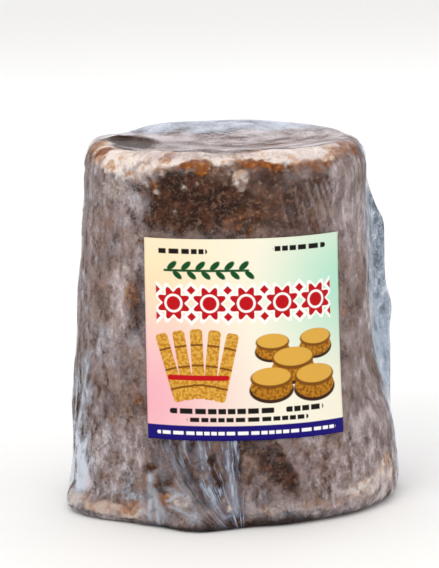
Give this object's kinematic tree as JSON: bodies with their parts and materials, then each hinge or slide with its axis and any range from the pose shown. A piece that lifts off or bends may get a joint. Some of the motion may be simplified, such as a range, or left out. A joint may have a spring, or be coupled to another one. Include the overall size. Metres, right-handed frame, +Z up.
{
  "type": "jaggery lump",
  "caption": "Tapered round block of raw cane sugar in a drawn-down clear film bag with a side fin and a bunched foot, with a square paper label on its front.",
  "frame": {"origin": "centre of the bounding box at the flat foot", "axes": "+Z up along the block's own axis, -Y out of the front that carries the label, +X towards the side with the film fin"},
  "size_m": [0.1022, 0.1066, 0.1108],
  "materials": {
    "film_over_jaggery": "clear film drawn over brown crystalline sugar",
    "printed_paper": "satin printed paper"
  },
  "bodies": {
    "root": {"bagged_lump": "film_over_jaggery", "paper_label": "printed_paper"}
  },
  "joints": []
}
